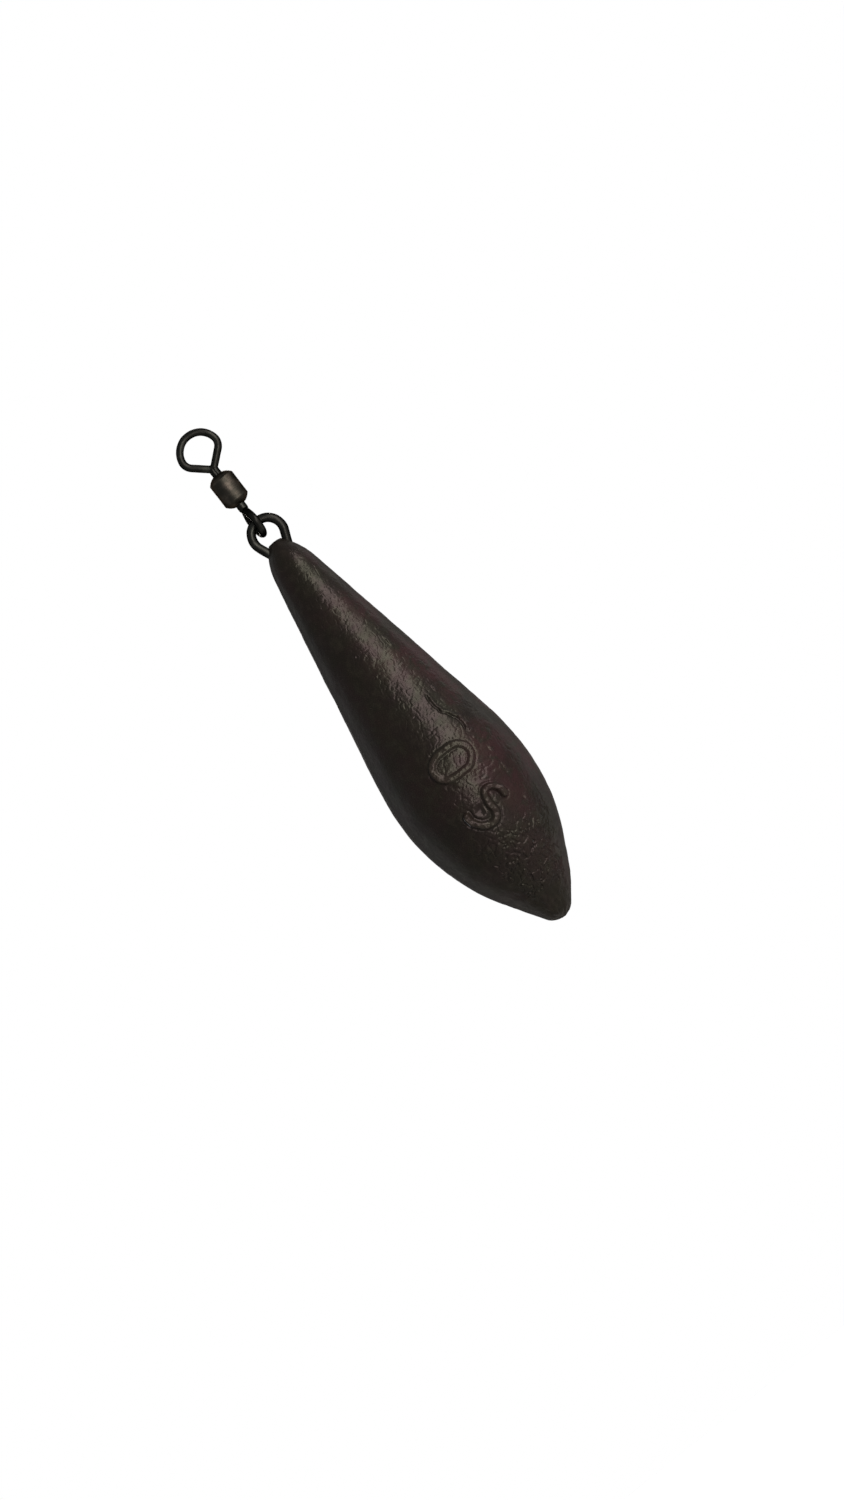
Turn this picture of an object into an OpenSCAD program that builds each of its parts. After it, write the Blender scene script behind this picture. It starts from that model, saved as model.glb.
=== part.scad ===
// Pear-shaped lead sinker on a rolling swivel, hanging as it does on a line.
// The origin is the centre of the line eye, +Z is up, and the line eye and the hanger loop lie in XZ.

/* [Casting] */
// Length of the casting from nose tip to top face, coating included
body_l = 49.2; // [44:0.2:56]
// Greatest diameter of the casting, coating included
body_d = 15.3; // [13:0.1:18]
// Height of the greatest diameter above the nose tip
belly_h = 16.8; // [14:0.1:20]
// Radius of the rounded nose tip
nose_tip_r = 2; // [1:0.1:3]
// How full the nose is, as a share of the fullest arc that still meets the tip
nose_fullness_share = 0.92; // [0.7:0.01:0.98]
// Radius of the arc that leads from the belly into the tail
tail_arc_r = 30; // [15:1:45]
// Diameter of the neck, where the straight tail ends
neck_d = 5; // [4.4:0.1:6]
// Height of the rounded top above the neck
top_round_h = 3.4; // [2.8:0.1:4]
// Diameter of the small flat on top
top_flat_d = 1.5; // [1:0.1:2]
// Thickness of the coating
coat_t = 0.15; // [0.1:0.01:0.25]

/* [Weight figures] */
// How far the cast figures stand proud
figure_h = 0.3; // [0.2:0.01:0.45]
// Height of a figure
figure_tall = 5.1; // [4:0.1:6]
// Width of a figure
figure_wide = 3.5; // [2.8:0.1:4]
// Width of a figure's stroke
figure_stroke = 0.85; // [0.6:0.05:1]
// Distance between the middles of the two figures
figure_pitch = 6.3; // [5:0.1:8]
// Height of the lower figure's middle above the nose tip
figure_base_h = 13.8; // [12:0.1:15]
// Distance of the figures' middle from the casting's midline
figure_side = 0.6; // [0:0.1:1.5]

/* [Hanger] */
// Diameter of the hanger wire
hanger_wire_d = 1; // [0.8:0.05:1.1]
// Radius of the loop, to the middle of the wire
loop_r = 1.74; // [1.6:0.02:2.2]
// Height of the loop's centre above the casting's top face
loop_stand = 1.1; // [0.9:0.05:1.6]
// Angle at which the legs draw together below the loop
leg_lean = 22; // [12:1:30]
// Distance of each buried shank from the midline
shank_side = 0.72; // [0.6:0.02:0.9]
// Radius of the bend between leg and shank
leg_bend_r = 1; // [0.7:0.1:1.4]
// Depth of the buried wire below the casting's top face
anchor_depth = 12; // [9:0.5:16]
// Radius of the bend above each foot
foot_bend_r = 0.9; // [0.7:0.1:1.2]
// Angle of the bend above each foot
foot_turn = 60; // [40:5:80]
// Length of the straight part of each foot
foot_l = 0.8; // [0.4:0.1:1.2]

/* [Swivel eyes] */
// Diameter of the wire of both eyes
eye_wire_d = 0.78; // [0.6:0.02:0.84]
// Diameter of the round stem that turns in the barrel
stem_d = 1.05; // [1:0.01:1.2]
// Slope of the straight legs below each ring
eye_leg_slope = 41; // [36:1:44]
// Radius of the line eye, to the middle of the wire
line_eye_r = 2.16; // [2:0.02:2.6]
// Radius of the line eye's lower corners
line_corner_r = 1.2; // [0.8:0.05:1.4]
// Distance from the line eye's centre to the crotch of its legs
line_crotch = 1.7; // [1.5:0.02:1.8]
// Distance from the line eye's crotch to the barrel
line_neck_l = 1.2; // [1:0.05:1.6]
// Radius of the link eye, to the middle of the wire
link_eye_r = 1.58; // [1.5:0.02:1.9]
// Radius of the link eye's upper corners
link_corner_r = 0.88; // [0.6:0.02:1]
// Distance from the link eye's centre to the crotch of its legs
link_crotch = 1.15; // [1:0.02:1.25]
// Distance from the link eye's crotch to the barrel
link_neck_l = 1.14; // [1:0.05:1.6]

/* [Swivel barrel] */
// Outer diameter of the barrel
barrel_d = 2.87; // [2.7:0.01:3.4]
// Length of the barrel
barrel_l = 3.85; // [3.6:0.05:4.6]
// Wall thickness of the barrel
barrel_wall = 0.4; // [0.3:0.02:0.45]
// Thickness of the barrel's ends at the mouths
barrel_cap_t = 0.5; // [0.45:0.02:0.6]
// Height of the rounded shoulders
shoulder_h = 0.59; // [0.45:0.02:0.8]
// Width of the flat rim around each mouth
mouth_rim = 0.1; // [0.05:0.01:0.15]
// Height of each stem's head inside the barrel
head_h = 1.1; // [0.8:0.05:1.2]
// Chamfer on each head
head_chamfer = 0.2; // [0.1:0.02:0.3]
// Running clearance between stem and mouth
stem_gap = 0.06; // [0.03:0.01:0.09]
// Clearance around each head
head_gap = 0.1; // [0.06:0.01:0.15]
// Axial play between each head and the barrel's end
head_play = 0.05; // [0.03:0.01:0.1]

/* [Link] */
// Slack between the hanger's crown and the bottom of the link eye
link_slack = 0.45; // [0.1:0.05:0.7]
// Sideways distance from the swivel's axis to the casting's axis
link_offset = 0.4; // [0:0.05:0.5]
// How far the link eye is turned from square to the loop
link_turn = 10; // [0:1:14]

/* [Hidden] */
$fn = 64;

// Chords in each arc of an outline
arc_steps = 16;
// Swell of a wire where a bend runs into a straight
bend_swell = 0.01;

// Casting, in its own frame with the nose tip at the origin
body_r = body_d / 2;
neck_r = neck_d / 2;
top_flat_r = top_flat_d / 2;
neck_z = body_l - top_round_h;

// Nose: the belly arc and the tip circle share one straight tangent
fullest_arc_r = (body_r ^ 2 + belly_h ^ 2 - 2 * belly_h * nose_tip_r) / (2 * (body_r - nose_tip_r));
nose_arc_r = nose_fullness_share * fullest_arc_r;
nose_x = body_r - nose_arc_r;
nose_reach = norm([nose_x, belly_h - nose_tip_r]);
nose_slope = atan2(belly_h - nose_tip_r, -nose_x) - acos((nose_arc_r - nose_tip_r) / nose_reach);

// Tail: a straight taper from the neck, tangent to the tail arc
tail_x = body_r - tail_arc_r;
tail_reach = norm([neck_r - tail_x, neck_z - belly_h]);
tail_slope = atan2(neck_z - belly_h, neck_r - tail_x) - acos(tail_arc_r / tail_reach);

// Top: an arc that leaves the taper at the neck and ends at the flat
top_step = [top_flat_r - neck_r, top_round_h];
top_arc_r = -(top_step * top_step) / (2 * top_step * [cos(tail_slope), sin(tail_slope)]);
top_x = neck_r - top_arc_r * cos(tail_slope);
top_z = neck_z - top_arc_r * sin(tail_slope);

// Figures, by the middle of their strokes
figure_mid_tall = figure_tall - figure_stroke;
figure_mid_wide = figure_wide - figure_stroke;
five_bowl_share = 0.62;
five_bowl_r = five_bowl_share * figure_mid_tall / 2;
five_stem_share = 0.85;
five_stem_x = -five_stem_share * figure_mid_wide / 2;
five_open_from = 148;
five_open_to = 222;

// Wires
hanger_r = hanger_wire_d / 2;
eye_wire_r = eye_wire_d / 2;
stem_r = stem_d / 2;
// Radius of the tight bend that closes each ring where its legs meet
crotch_r = 0.5;
// How far each stem's dome stays below the crotch of its ring
stem_drop = 0.1;
// Turn of each stem about its axis, which keeps its seam out of the ring's plane
stem_seam_turn = 45;

// Barrel
barrel_r = barrel_d / 2;
mouth_r = stem_r + stem_gap;
cavity_r = barrel_r - barrel_wall;
head_r = cavity_r - head_gap;
rim_r = mouth_r + mouth_rim;
dome_depth = (barrel_r ^ 2 - rim_r ^ 2 + shoulder_h ^ 2) / (2 * shoulder_h);
dome_r = norm([rim_r, dome_depth]);
dome_from = atan2(dome_depth, rim_r);
dome_to = atan2(dome_depth - shoulder_h, barrel_r);

// Heights of the hanging chain, from the line eye down to the nose tip
barrel_top_z = -line_crotch - line_neck_l;
barrel_mid_z = barrel_top_z - barrel_l / 2;
barrel_bottom_z = barrel_top_z - barrel_l;
link_eye_z = barrel_bottom_z - link_neck_l - link_crotch;
pivot_z = link_eye_z - link_eye_r + eye_wire_r + link_slack + hanger_r;
loop_z = pivot_z - sqrt(loop_r ^ 2 - link_offset ^ 2);
nose_z = loop_z - loop_stand - body_l;

// Points along an arc
function arc(x, y, radius, from, to) = [
    for (step = [0 : arc_steps])
        let (angle = from + (to - from) * step / arc_steps)
        [x + radius * cos(angle), y + radius * sin(angle)]
];

// A stretch of wire bent round a corner in the XY plane
module bend(radius, wire_r, from, to) {
    rotate([0, 0, from])
        rotate_extrude(angle = to - from)
            translate([radius, 0])
                circle(wire_r);
}

// The slight swell of the wire where two stretches of it meet, with its poles along the wire's heading
module swell(point, heading, wire_r) {
    translate(point)
        rotate([0, 0, heading])
            rotate([0, 90, 0])
                sphere(wire_r + bend_swell);
}

// A straight stretch of wire in the XY plane, heading along an angle
module straight(start, heading, length, wire_r) {
    translate(start)
        rotate([0, 0, heading])
            rotate([0, 90, 0])
                cylinder(h = length, r = wire_r);
}

// Half outline of the casting, moved inwards by an inset
module casting_outline(inset) {
    top_r = top_arc_r - inset;
    top_end = asin((body_l - inset - top_z) / top_r);
    polygon(concat(
        arc(0, nose_tip_r, nose_tip_r - inset, -90, -nose_slope),
        arc(nose_x, belly_h, nose_arc_r - inset, -nose_slope, 0),
        arc(tail_x, belly_h, tail_arc_r - inset, 0, tail_slope),
        arc(top_x, top_z, top_r, tail_slope, top_end),
        [[0, body_l - inset]]
    ));
}

// Upright shape with straight sides, round at both ends
module stadium(wide, tall) {
    end_y = (tall - wide) / 2;
    polygon(concat(
        arc(0, end_y, wide / 2, 0, 180),
        arc(0, -end_y, wide / 2, 180, 360)
    ));
}

// Stroke from one point along an angle, with square ends
module stroke_bar(start, heading, length, stroke) {
    translate(start)
        rotate([0, 0, heading])
            translate([0, -stroke / 2])
                square([length, stroke]);
}

// The figure 0 around its own middle
module zero_figure(stroke) {
    difference() {
        stadium(figure_mid_wide + stroke, figure_mid_tall + stroke);
        stadium(figure_mid_wide - stroke, figure_mid_tall - stroke);
    }
}

// The figure 5 around its own middle, whose open end draws back as its stroke gets thinner
module five_figure(stroke) {
    bowl_y = five_bowl_r - figure_mid_tall / 2;
    bowl_end = five_open_to - 360 + (figure_stroke - stroke) / (2 * five_bowl_r) * 180 / PI;
    bar_l = figure_mid_wide / 2 - five_stem_x;
    joint = [five_bowl_r * cos(five_open_from), bowl_y + five_bowl_r * sin(five_open_from)];
    stem = [five_stem_x, figure_mid_tall / 2] - joint;
    stroke_bar([five_stem_x - stroke / 2, figure_mid_tall / 2], 0, bar_l + stroke, stroke);
    stroke_bar(joint, atan2(stem[1], stem[0]), norm(stem), stroke);
    polygon(concat(
        arc(0, bowl_y, five_bowl_r + stroke / 2, bowl_end, five_open_from),
        arc(0, bowl_y, five_bowl_r - stroke / 2, five_open_from, bowl_end)
    ));
}

// Both figures as prisms in front of the casting, read upwards with their tops towards -X
module figure_prisms(stroke) {
    rotate([90, 0, 0])
        linear_extrude(body_d)
            translate([figure_side, figure_base_h])
                rotate([0, 0, 90]) {
                    five_figure(stroke);
                    translate([figure_pitch, 0])
                        zero_figure(stroke);
                }
}

// The casting with its raised figures, moved inwards by an inset, nose tip at the origin
module cast_shape(inset) {
    rotate_extrude()
        casting_outline(inset);
    intersection() {
        rotate_extrude()
            casting_outline(inset - figure_h);
        figure_prisms(figure_stroke - 2 * inset);
    }
}

// Places the casting under the link
module casting_place() {
    translate([link_offset, 0, nose_z])
        children();
}

// One side of the hanger wire below the loop, around the loop's centre
module hanger_side() {
    shank_top_x = shank_side + leg_bend_r * (1 - cos(leg_lean));
    leg_l = (loop_r * cos(leg_lean) - shank_top_x) / sin(leg_lean);
    bend_y = -loop_r * sin(leg_lean) - leg_l * cos(leg_lean) - leg_bend_r * sin(leg_lean);
    foot_y = foot_bend_r * sin(foot_turn) - loop_stand - anchor_depth;
    foot_start = [
        shank_side + foot_bend_r * (1 - cos(foot_turn)),
        foot_y - foot_bend_r * sin(foot_turn)
    ];
    leg_top = loop_r * [cos(leg_lean), -sin(leg_lean)];
    leg_foot = [shank_top_x, bend_y + leg_bend_r * sin(leg_lean)];
    swell(leg_top, -90 - leg_lean, hanger_r);
    swell(leg_foot, -90 - leg_lean, hanger_r);
    swell([shank_side, bend_y], -90, hanger_r);
    swell([shank_side, foot_y], -90, hanger_r);
    swell(foot_start, foot_turn - 90, hanger_r);
    straight(leg_top, -90 - leg_lean, leg_l, hanger_r);
    translate([shank_side + leg_bend_r, bend_y])
        bend(leg_bend_r, hanger_r, 180 - leg_lean, 180);
    straight([shank_side, bend_y], -90, bend_y - foot_y, hanger_r);
    translate([shank_side + foot_bend_r, foot_y])
        bend(foot_bend_r, hanger_r, 180, 180 + foot_turn);
    straight(foot_start, foot_turn - 90, foot_l, hanger_r);
}

// The whole hanger wire where it hangs
module hanger_shape() {
    translate([link_offset, 0, loop_z])
        rotate([90, 0, 0]) {
            bend(loop_r, hanger_r, -leg_lean, 180 + leg_lean);
            hanger_side();
            rotate([0, 180, 0])
                hanger_side();
        }
}

// Ring of a swivel eye in the XY plane, with its legs meeting below it
module eye_ring(radius, corner_r, crotch) {
    toward_leg = [sin(eye_leg_slope), -cos(eye_leg_slope)];
    along_leg = [cos(eye_leg_slope), sin(eye_leg_slope)];
    leg_reach = crotch * cos(eye_leg_slope) + eye_wire_r;
    corner_rise = sqrt((radius - corner_r) ^ 2 - (leg_reach - corner_r) ^ 2);
    corner = (leg_reach - corner_r) * toward_leg + corner_rise * along_leg;
    corner_from = atan2(corner[1], corner[0]);
    leg_l = corner_rise + (leg_reach - crotch_r) * tan(eye_leg_slope);
    leg_top = corner + corner_r * toward_leg;
    crotch_centre = [0, (crotch_r - eye_wire_r) / cos(eye_leg_slope) - crotch];
    bend(radius, eye_wire_r, corner_from, 180 - corner_from);
    translate(crotch_centre)
        bend(crotch_r, eye_wire_r, 270 - eye_leg_slope, 270 + eye_leg_slope);
    for (half_turn = [0, 180])
        rotate([0, half_turn, 0]) {
            swell(radius * [cos(corner_from), sin(corner_from)], corner_from - 90, eye_wire_r);
            swell(leg_top, 180 + eye_leg_slope, eye_wire_r);
            swell(crotch_centre + crotch_r * toward_leg, 180 + eye_leg_slope, eye_wire_r);
            translate(corner)
                bend(corner_r, eye_wire_r, eye_leg_slope - 90, corner_from);
            straight(leg_top, 180 + eye_leg_slope, leg_l, eye_wire_r);
        }
}

// Round stem below a ring, with a domed top at the origin and a head at its foot
module eye_stem(length) {
    head_z = -length - head_h;
    rotate_extrude()
        polygon(concat(
            [[0, head_z], [head_r - head_chamfer, head_z]],
            [[head_r, head_z + head_chamfer], [head_r, -length], [stem_r, -length]],
            arc(0, -stem_r, stem_r, 0, 90)
        ));
}

// A whole eye with its ring centred on the origin and its stem pointing down
module swivel_eye(radius, corner_r, crotch, neck_l) {
    rotate([90, 0, 0])
        eye_ring(radius, corner_r, crotch);
    translate([0, 0, -crotch - stem_drop])
        rotate([0, 0, stem_seam_turn])
            eye_stem(neck_l - stem_drop + barrel_cap_t + head_play);
}

// A list from its last entry to its first
function reverse(list) = [for (index = [len(list) - 1 : -1 : 0]) list[index]];

// Right half of the barrel's wall around its middle, for one end: side 1 is up and -1 is down
function barrel_end(side) = [
    for (point = concat(
        [[cavity_r, barrel_l / 2 - barrel_cap_t], [mouth_r, barrel_l / 2 - barrel_cap_t]],
        [[mouth_r, barrel_l / 2]],
        arc(0, barrel_l / 2 - dome_depth, dome_r, dome_from, dome_to)
    ))
    [point[0], side * point[1]]
];

module lead_core() {
    color("dimgray")
        difference() {
            casting_place()
                cast_shape(coat_t);
            hanger_shape();
        }
}

module coating() {
    color([0.2, 0.18, 0.17])
        difference() {
            casting_place()
                cast_shape(0);
            casting_place()
                cast_shape(coat_t);
            hanger_shape();
        }
}

module hanger_loop() {
    color([0.16, 0.16, 0.15])
        hanger_shape();
}

module line_eye() {
    color([0.15, 0.15, 0.15])
        swivel_eye(line_eye_r, line_corner_r, line_crotch, line_neck_l);
}

module swivel_barrel() {
    color([0.2, 0.18, 0.16])
        translate([0, 0, barrel_mid_z])
            rotate_extrude()
                polygon(concat(barrel_end(1), reverse(barrel_end(-1))));
}

module link_eye() {
    color([0.15, 0.15, 0.15])
        translate([0, 0, link_eye_z])
            rotate([0, 180, 90 + link_turn])
                swivel_eye(link_eye_r, link_corner_r, link_crotch, link_neck_l);
}

lead_core();
coating();
hanger_loop();
line_eye();
swivel_barrel();
link_eye();
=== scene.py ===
"""A coated lead sinker on a rolling swivel, dressed piece by piece around its CAD frame.

All sizes are in millimetres in the CAD's own frame: the origin is the centre of the line eye and
+Z is up. Each mesh is made in millimetres and brought to metres when its piece is finished.
"""

import logging
import math
import random
from dataclasses import dataclass, field
from enum import Enum

import bmesh
import bpy
from bmesh.types import BMEdge, BMesh, BMVert
from bpy.types import ID, Material, NodeSocket, NodeTree, Object
from mathutils import Matrix, Vector, geometry, noise


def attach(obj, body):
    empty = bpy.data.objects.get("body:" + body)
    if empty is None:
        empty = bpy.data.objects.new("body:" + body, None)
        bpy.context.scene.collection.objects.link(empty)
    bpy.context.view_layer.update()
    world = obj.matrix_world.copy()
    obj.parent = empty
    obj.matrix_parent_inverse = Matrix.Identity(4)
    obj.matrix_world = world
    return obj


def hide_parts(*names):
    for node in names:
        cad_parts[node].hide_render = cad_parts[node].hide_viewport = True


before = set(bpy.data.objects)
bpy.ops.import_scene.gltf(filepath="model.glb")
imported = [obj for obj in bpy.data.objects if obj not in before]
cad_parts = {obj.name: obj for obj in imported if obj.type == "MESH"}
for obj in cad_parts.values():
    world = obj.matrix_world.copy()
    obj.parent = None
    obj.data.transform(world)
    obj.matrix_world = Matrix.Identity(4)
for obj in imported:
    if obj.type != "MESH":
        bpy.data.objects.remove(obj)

LOG = logging.getLogger("sinker")
# Numbers that belong together: a place on the front or the ends of a span, and a place in noise.
Pair = tuple[float, float]
Triple = tuple[float, float, float]
# A millimetre in metres, and the distance in millimetres under which doubled points are merged.
MM = 0.001
WELD = 0.0005
# From the XY plane, in which wire is bent, to the XZ plane, in which it lies on the sinker.
UPRIGHT = Matrix.Rotation(math.pi / 2, 4, "X")
# The thickness of the barrel's ends, which the stems of both eyes run through.
END_THICKNESS = 0.5


class Slot(Enum):
    """The record's material slots."""

    CAST_LEAD = "cast_lead"
    DARK_COATING = "dark_coating"
    BLACKENED_WIRE = "blackened_wire"
    BRONZED_BARREL = "bronzed_barrel"


def linear(hex_colour: str) -> tuple[float, float, float, float]:
    """Turns an sRGB hex colour such as "#2a2320" to linear red, green, blue and an alpha of 1."""
    shares = [int(hex_colour[place : place + 2], 16) / 255 for place in (1, 3, 5)]
    return (*(s / 12.92 if s <= 0.04045 else ((s + 0.055) / 1.055) ** 2.4 for s in shares), 1.0)


def per_metre(size_mm: float) -> float:
    """The scale of a pattern whose marks are size_mm apart."""
    return 1 / (size_mm * MM)


def add_node(
    tree: NodeTree,
    kind: str,
    inputs: dict[str | int, object] | None = None,
    output: str | int = 0,
    **settings: str,
) -> NodeSocket | None:
    """Adds a node with its settings and links.

    Args:
        tree: The node tree that gets the node.
        kind: The node's type name, less the ShaderNode that it starts with.
        inputs: A value, or the socket that it is linked from, for each input.
        output: The output that is wanted.
        **settings: Properties of the node.

    Returns:
        That output, or None if the node has no outputs.
    """
    node = tree.nodes.new("ShaderNode" + kind)
    for name, value in settings.items():
        setattr(node, name, value)
    for name, value in (inputs or {}).items():
        if isinstance(value, NodeSocket):
            tree.links.new(value, node.inputs[name])
        else:
            node.inputs[name].default_value = value
    return node.outputs[output] if node.outputs else None


def empty_material(name: str) -> tuple[Material, NodeTree]:
    """Makes a material whose node tree is empty.

    Args:
        name: Its name.

    Returns:
        The material and its node tree.
    """
    material = bpy.data.materials.new(name)
    material.use_nodes = True
    material.node_tree.nodes.clear()
    return material, material.node_tree


@dataclass(frozen=True)
class BakedCoating:
    """Baked coating: dark polymer paint, dipped and baked on the cast lead.

    The paint is nearly black with a brown cast, it thins on ridges, and it dries to a satin skin with a
    fine leathery grain. The eye sees a broad soft stripe of light that the grain breaks into flecks,
    painted shade in the hollows, rubbed ridges, and dull red patches where it is handled.
    """

    ground: str = "#0c0a08"
    russet: str = "#190e0f"
    taupe: str = "#12100d"
    # Painted shade: the near black that the hollows of the relief are darkened with, as if shade fell
    # there.
    painted_hollow_shade: str = "#050404"
    ridge: str = "#1b1714"
    rose_gloss: str = "#ffebed"
    olive_gloss: str = "#f6f9e5"
    patch_mm: float = 5.0
    sheen_mm: float = 2.3
    mottle_mm: float = 0.9
    grain_mm: float = 0.38
    grain_depth_mm: float = 0.028
    # Real pores are finer than 0.1 mm, and are drawn as coarse as they need to show.
    pore_mm: float = 0.16
    pore_depth_mm: float = 0.008
    # Each pattern sets in between two values of its noise, or of the relief; hollows take at most this
    # share of the painted shade, and ridges at most this share of their rubbed colour.
    patch_span: Pair = (0.4, 0.62)
    sheen_span: Pair = (0.62, 0.38)
    mottle_span: Pair = (0.45, 0.7)
    painted_shade_span: Pair = (0.42, 0.1)
    ridge_span: Pair = (0.56, 1.0)
    painted_shade_share: float = 0.4
    ridge_share: float = 0.5
    # Where the paint is thick it levels out and is the glossiest, and it is matt at a glancing view.
    gloss_span: Pair = (0.35, 0.7)
    thin_roughness: float = 0.31
    thick_roughness: float = 0.23
    edge_span: Pair = (0.3, 0.8)
    edge_roughness: float = 0.75
    # The porous skin gives back far less than a smooth paint, whose IOR is about 1.5.
    ior: float = 1.17
    # It is reddest where hands hold it, to the right of this span of X and above this span of Z,
    # and keeps these shares of its red to the left of the one and below the other.
    held_x_mm: Pair = (-1.0, 5.0)
    held_z_mm: Pair = (-54.0, -45.0)
    left_share: float = 0.2
    below_share: float = 0.35

    def material(self) -> Material:
        """Builds the coating, whose relief attribute paints shade into hollows and rubs ridges lighter.

        Returns:
            The material.
        """
        made, tree = empty_material("baked_coating")
        where = add_node(tree, "TexCoord", output="Object")
        relief = add_node(tree, "Attribute", output="Fac", attribute_name="relief")
        side, height = (add_node(tree, "SeparateXYZ", {0: where}, axis) for axis in "XZ")
        facing = add_node(tree, "LayerWeight", {"Blend": 0.5}, "Facing")
        patch, hue, mottle, grain, pore = (
            add_node(tree, "TexNoise", {"Vector": where, "Scale": per_metre(size), "Detail": detail})
            for size, detail in (
                (self.patch_mm, 3),
                (self.sheen_mm, 3),
                (self.mottle_mm, 4),
                (self.grain_mm, 2),
                (self.pore_mm, 1),
            )
        )
        across, along = ([end * MM for end in span] for span in (self.held_x_mm, self.held_z_mm))
        patchy, beside, above, tinged, mottled, sunk, rubbed, gloss, edge = (
            add_node(
                tree,
                "MapRange",
                {"Value": value, "From Min": low, "From Max": high, "To Min": least, "To Max": most},
                interpolation_type="SMOOTHSTEP",
            )
            for value, (low, high), (least, most) in (
                (patch, self.patch_span, (0, 1)),
                (side, across, (self.left_share, 1)),
                (height, along, (self.below_share, 1)),
                (hue, self.sheen_span, (0, 1)),
                (mottle, self.mottle_span, (0, 1)),
                # The first of these two sets where the hollows get painted shade, the second where ridges
                # are rubbed.
                (relief, self.painted_shade_span, (0, self.painted_shade_share)),
                (relief, self.ridge_span, (0, self.ridge_share)),
                (mottle, self.gloss_span, (self.thin_roughness, self.thick_roughness)),
                (facing, self.edge_span, (0, 1)),
            )
        )
        redness = patchy
        for held in (beside, above):
            redness = add_node(tree, "Math", {0: redness, 1: held}, operation="MULTIPLY")
        colour = linear(self.ground)
        for share, over in (
            (redness, self.russet),
            (mottled, self.taupe),
            # Painted shade in the hollows of the relief.
            (sunk, self.painted_hollow_shade),
            (rubbed, self.ridge),
        ):
            colour = add_node(
                tree, "Mix", {"Factor": share, 6: colour, 7: linear(over)}, 2, data_type="RGBA"
            )
        glosses = {"Factor": tinged, 6: linear(self.rose_gloss), 7: linear(self.olive_gloss)}
        tint = add_node(tree, "Mix", glosses, 2, data_type="RGBA")
        satin = add_node(tree, "Mix", {0: edge, 2: gloss, 3: self.edge_roughness})
        leathery = add_node(tree, "Bump", {"Height": grain, "Distance": self.grain_depth_mm * MM})
        porous = add_node(
            tree, "Bump", {"Height": pore, "Distance": self.pore_depth_mm * MM, "Normal": leathery}
        )
        shader = add_node(
            tree,
            "BsdfPrincipled",
            {
                "Base Color": colour,
                "Roughness": satin,
                "IOR": self.ior,
                "Specular Tint": tint,
                "Normal": porous,
            },
        )
        add_node(tree, "OutputMaterial", {"Surface": shader})
        return made


@dataclass(frozen=True)
class DarkenedMetal:
    """What the object's metals share: an oxide skin with clouds of a second colour, over a fine grain."""

    name: str
    skin: str
    cloud: str
    cloud_mm: float
    cloud_detail: int
    # The values of their noise between which the clouds set in.
    cloud_span: Pair
    grain_mm: float
    grain_detail: int
    grain_depth_mm: float
    # The least and the greatest, which are the same if the grain leaves it even.
    roughness: Pair
    # The values of the grain's noise between which it goes from one to the other.
    gloss_span: Pair = (0.3, 0.7)
    # The tint of what it gives back at a glancing view.
    edge: str = "#ffffff"
    # Lathe rings round the Z axis, or 0 for none.
    ring_mm: float = 0.0
    ring_depth_mm: float = 0.0

    def material(self) -> Material:
        """Builds the metal.

        Returns:
            The material.
        """
        made, tree = empty_material(self.name)
        where = add_node(tree, "TexCoord", output="Object")
        cloud, grain = (
            add_node(tree, "TexNoise", {"Vector": where, "Scale": per_metre(size), "Detail": detail})
            for size, detail in ((self.cloud_mm, self.cloud_detail), (self.grain_mm, self.grain_detail))
        )
        least, most = self.roughness
        ranges = [(cloud, self.cloud_span, (0, 1))]
        if least < most:
            ranges.append((grain, self.gloss_span, self.roughness))
        cloudy, *gloss = (
            add_node(
                tree,
                "MapRange",
                {"Value": value, "From Min": low, "From Max": high, "To Min": bottom, "To Max": top},
                interpolation_type="SMOOTHSTEP",
            )
            for value, (low, high), (bottom, top) in ranges
        )
        colours = {"Factor": cloudy, 6: linear(self.skin), 7: linear(self.cloud)}
        colour = add_node(tree, "Mix", colours, 2, data_type="RGBA")
        relief = {"Height": grain, "Distance": self.grain_depth_mm * MM}
        if self.ring_mm:
            rings = add_node(
                tree,
                "TexWave",
                {"Vector": where, "Scale": per_metre(self.ring_mm) / (2 * math.pi), "Distortion": 1.0},
                "Fac",
                wave_type="BANDS",
                bands_direction="Z",
            )
            turned = {"Height": rings, "Distance": self.ring_depth_mm * MM}
            relief["Normal"] = add_node(tree, "Bump", turned)
        shader = add_node(
            tree,
            "BsdfPrincipled",
            {
                "Base Color": colour,
                "Metallic": 1.0,
                "Roughness": gloss[0] if gloss else least,
                "Specular Tint": linear(self.edge),
                "Normal": add_node(tree, "Bump", relief),
            },
        )
        add_node(tree, "OutputMaterial", {"Surface": shader})
        return made


@dataclass(frozen=True)
class BlackenedSteel(DarkenedMetal):
    """Blackened steel: drawn spring wire with a black oxide from a hot salt bath.

    The wire is smooth, and the oxide is thin and rubs off, so the eye sees a nearly black metal with
    narrow soft highlights along each bend, and slightly greyer where it has worn.
    """

    name: str = "blackened_steel"
    skin: str = "#131312"
    cloud: str = "#1f201e"
    cloud_mm: float = 1.2
    cloud_detail: int = 4
    cloud_span: Pair = (0.4, 0.75)
    # The oxide's grains are a few micrometres across, and are drawn as coarse as they need to show.
    grain_mm: float = 0.25
    grain_detail: int = 2
    grain_depth_mm: float = 0.004
    roughness: Pair = (0.34, 0.4)
    edge: str = "#8a8a86"


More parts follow.
